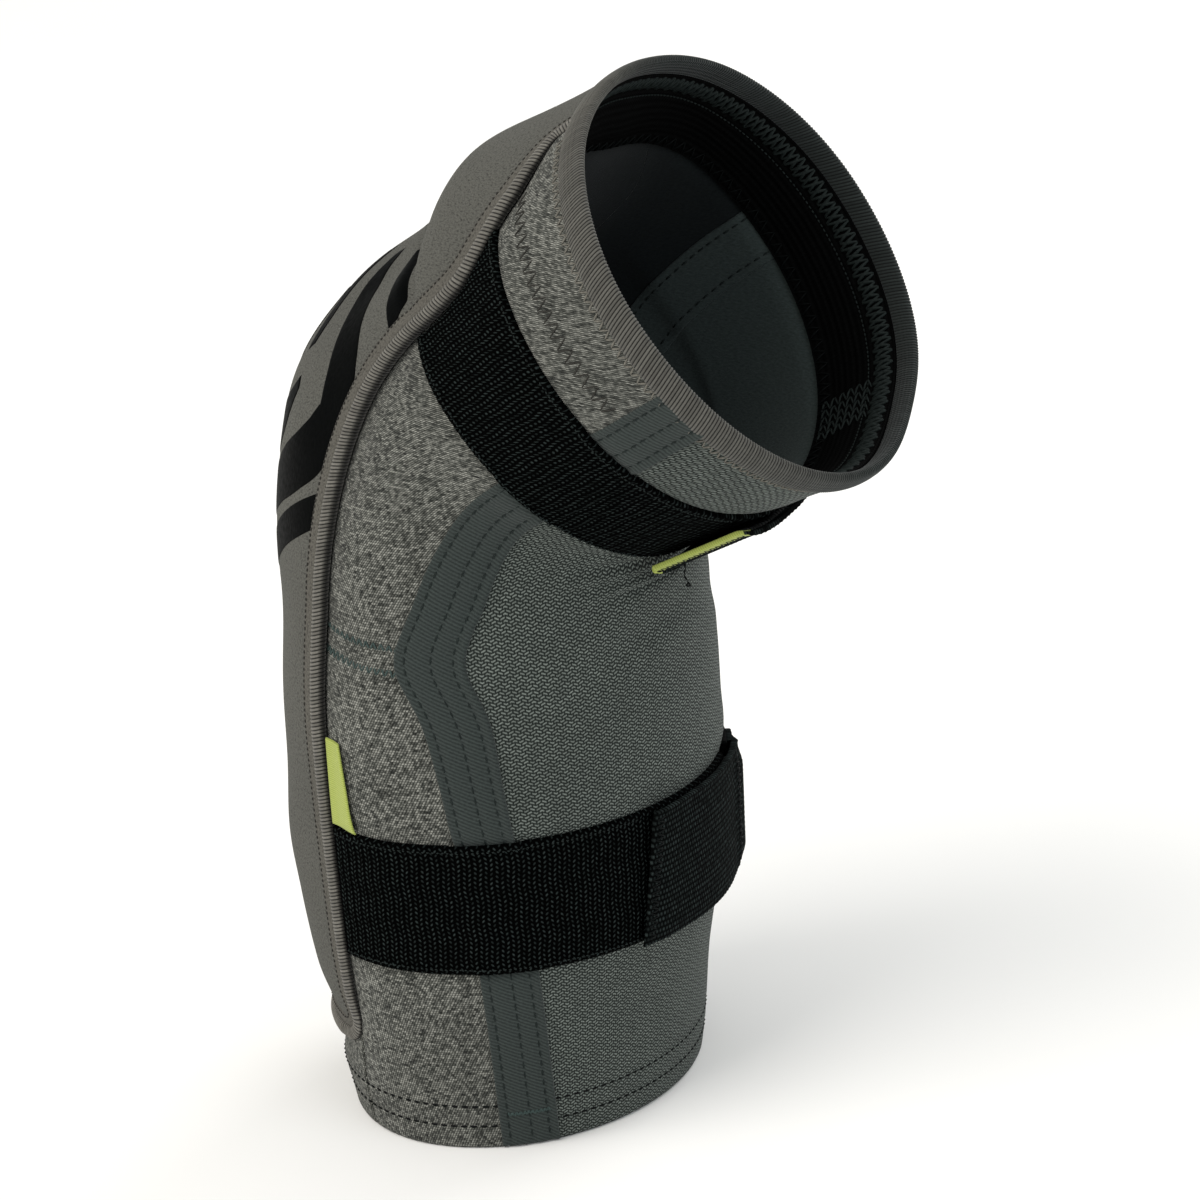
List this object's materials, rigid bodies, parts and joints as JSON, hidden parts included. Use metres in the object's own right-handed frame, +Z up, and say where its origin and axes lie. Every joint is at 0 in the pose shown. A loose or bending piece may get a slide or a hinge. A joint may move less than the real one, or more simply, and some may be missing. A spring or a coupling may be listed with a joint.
{
  "type": "elbow pad",
  "caption": "Pre-curved sports elbow guard: knitted sleeve with a padded elbow, taped seams, a stretch mesh crook, a gripper cuff and hook-and-loop straps above and below the joint.",
  "frame": {"origin": "centre of the whole guard's box, at the level of the forearm hem that it stands on", "axes": "+Z up along the forearm, from the hem to the elbow; +X the way the crook opens and the upper arm leans; -Y the side with the flag label"},
  "size_m": [0.1452, 0.1128, 0.2357],
  "materials": {
    "heather_knit": "melange knit, matt",
    "crook_mesh": "open woven stretch mesh, matt",
    "seam_tape": "flat twill tape, matt",
    "lining": "brushed jersey, matt",
    "pad_cover": "fine pebbled stretch fabric with gloss black printed bands",
    "pad_binding": "knitted binding with overlock thread",
    "rim_binding": "knitted binding with overlock thread",
    "foam": "closed cell foam",
    "gripper": "elastic with silicone, satin",
    "strap_elastic": "ribbed loop elastic, matt",
    "tab_webbing": "woven webbing, matt",
    "hooks": "moulded hook tape",
    "lime_tape": "woven satin tape"
  },
  "bodies": {
    "forearm": {"heather_forearm_label_side": "heather_knit", "seam_tape_forearm_label_side": "seam_tape", "pad_binding_forearm_label_side": "pad_binding", "heather_forearm_plain_side": "heather_knit", "seam_tape_forearm_plain_side": "seam_tape", "pad_binding_forearm_plain_side": "pad_binding", "crook_mesh_forearm": "crook_mesh", "pad_lining_forearm": "lining", "pad_cover_forearm": "pad_cover", "heather_elbow_label_side": "heather_knit", "seam_tape_elbow_label_side": "seam_tape", "pad_binding_elbow_label_side": "pad_binding", "heather_elbow_plain_side": "heather_knit", "seam_tape_elbow_plain_side": "seam_tape", "pad_binding_elbow_plain_side": "pad_binding", "crook_mesh_elbow": "crook_mesh", "pad_lining_elbow": "lining", "pad_cover_elbow": "pad_cover", "pad_binding_bottom": "pad_binding", "pad_foam_forearm": "foam", "elbow_cup_foam": "foam", "forearm_hem_facing": "heather_knit", "lower_loop_strap": "strap_elastic", "lower_elastic_strap": "strap_elastic", "flag_label": "lime_tape"},
    "upper_arm": {"heather_upper_arm_label_side": "heather_knit", "seam_tape_upper_arm_label_side": "seam_tape", "pad_binding_upper_arm_label_side": "pad_binding", "heather_upper_arm_plain_side": "heather_knit", "seam_tape_upper_arm_plain_side": "seam_tape", "pad_binding_upper_arm_plain_side": "pad_binding", "crook_mesh_upper_arm": "crook_mesh", "pad_lining_upper_arm": "lining", "pad_cover_upper_arm": "pad_cover", "pad_foam_upper_arm": "foam", "cuff_gripper_band": "gripper", "cuff_rim_binding": "rim_binding", "upper_loop_strap": "strap_elastic", "upper_elastic_strap": "strap_elastic"},
    "lower_tab": {"lower_hook_tab": "tab_webbing", "lower_hook_patch": "hooks"},
    "upper_tab": {"upper_hook_tab": "tab_webbing", "upper_hook_patch": "hooks", "upper_tab_lime_end": "lime_tape"}
  },
  "joints": [
    {"name": "elbow_straighten", "type": "hinge", "parent": "forearm", "child": "upper_arm", "pos_m": [-0.0221, 0, 0.1397], "axis": [0, -1, 0], "range_deg": [-35, 40], "stiffness_Nm_per_rad": 0.9, "deforming": ["heather_elbow_label_side", "seam_tape_elbow_label_side", "pad_binding_elbow_label_side", "heather_elbow_plain_side", "seam_tape_elbow_plain_side", "pad_binding_elbow_plain_side", "crook_mesh_elbow", "pad_lining_elbow", "pad_cover_elbow"]},
    {"name": "lower_tab_peel", "type": "hinge", "parent": "forearm", "child": "lower_tab", "pos_m": [0.02112, 0.02522, 0.05925], "axis": [0.0229, 0.0126, 0.9997], "range_deg": [0, 150]},
    {"name": "upper_tab_peel", "type": "hinge", "parent": "upper_arm", "child": "upper_tab", "pos_m": [0.03491, 0.02528, 0.1365], "axis": [0.8998, 0.0734, 0.4301], "range_deg": [0, 150]}
  ]
}
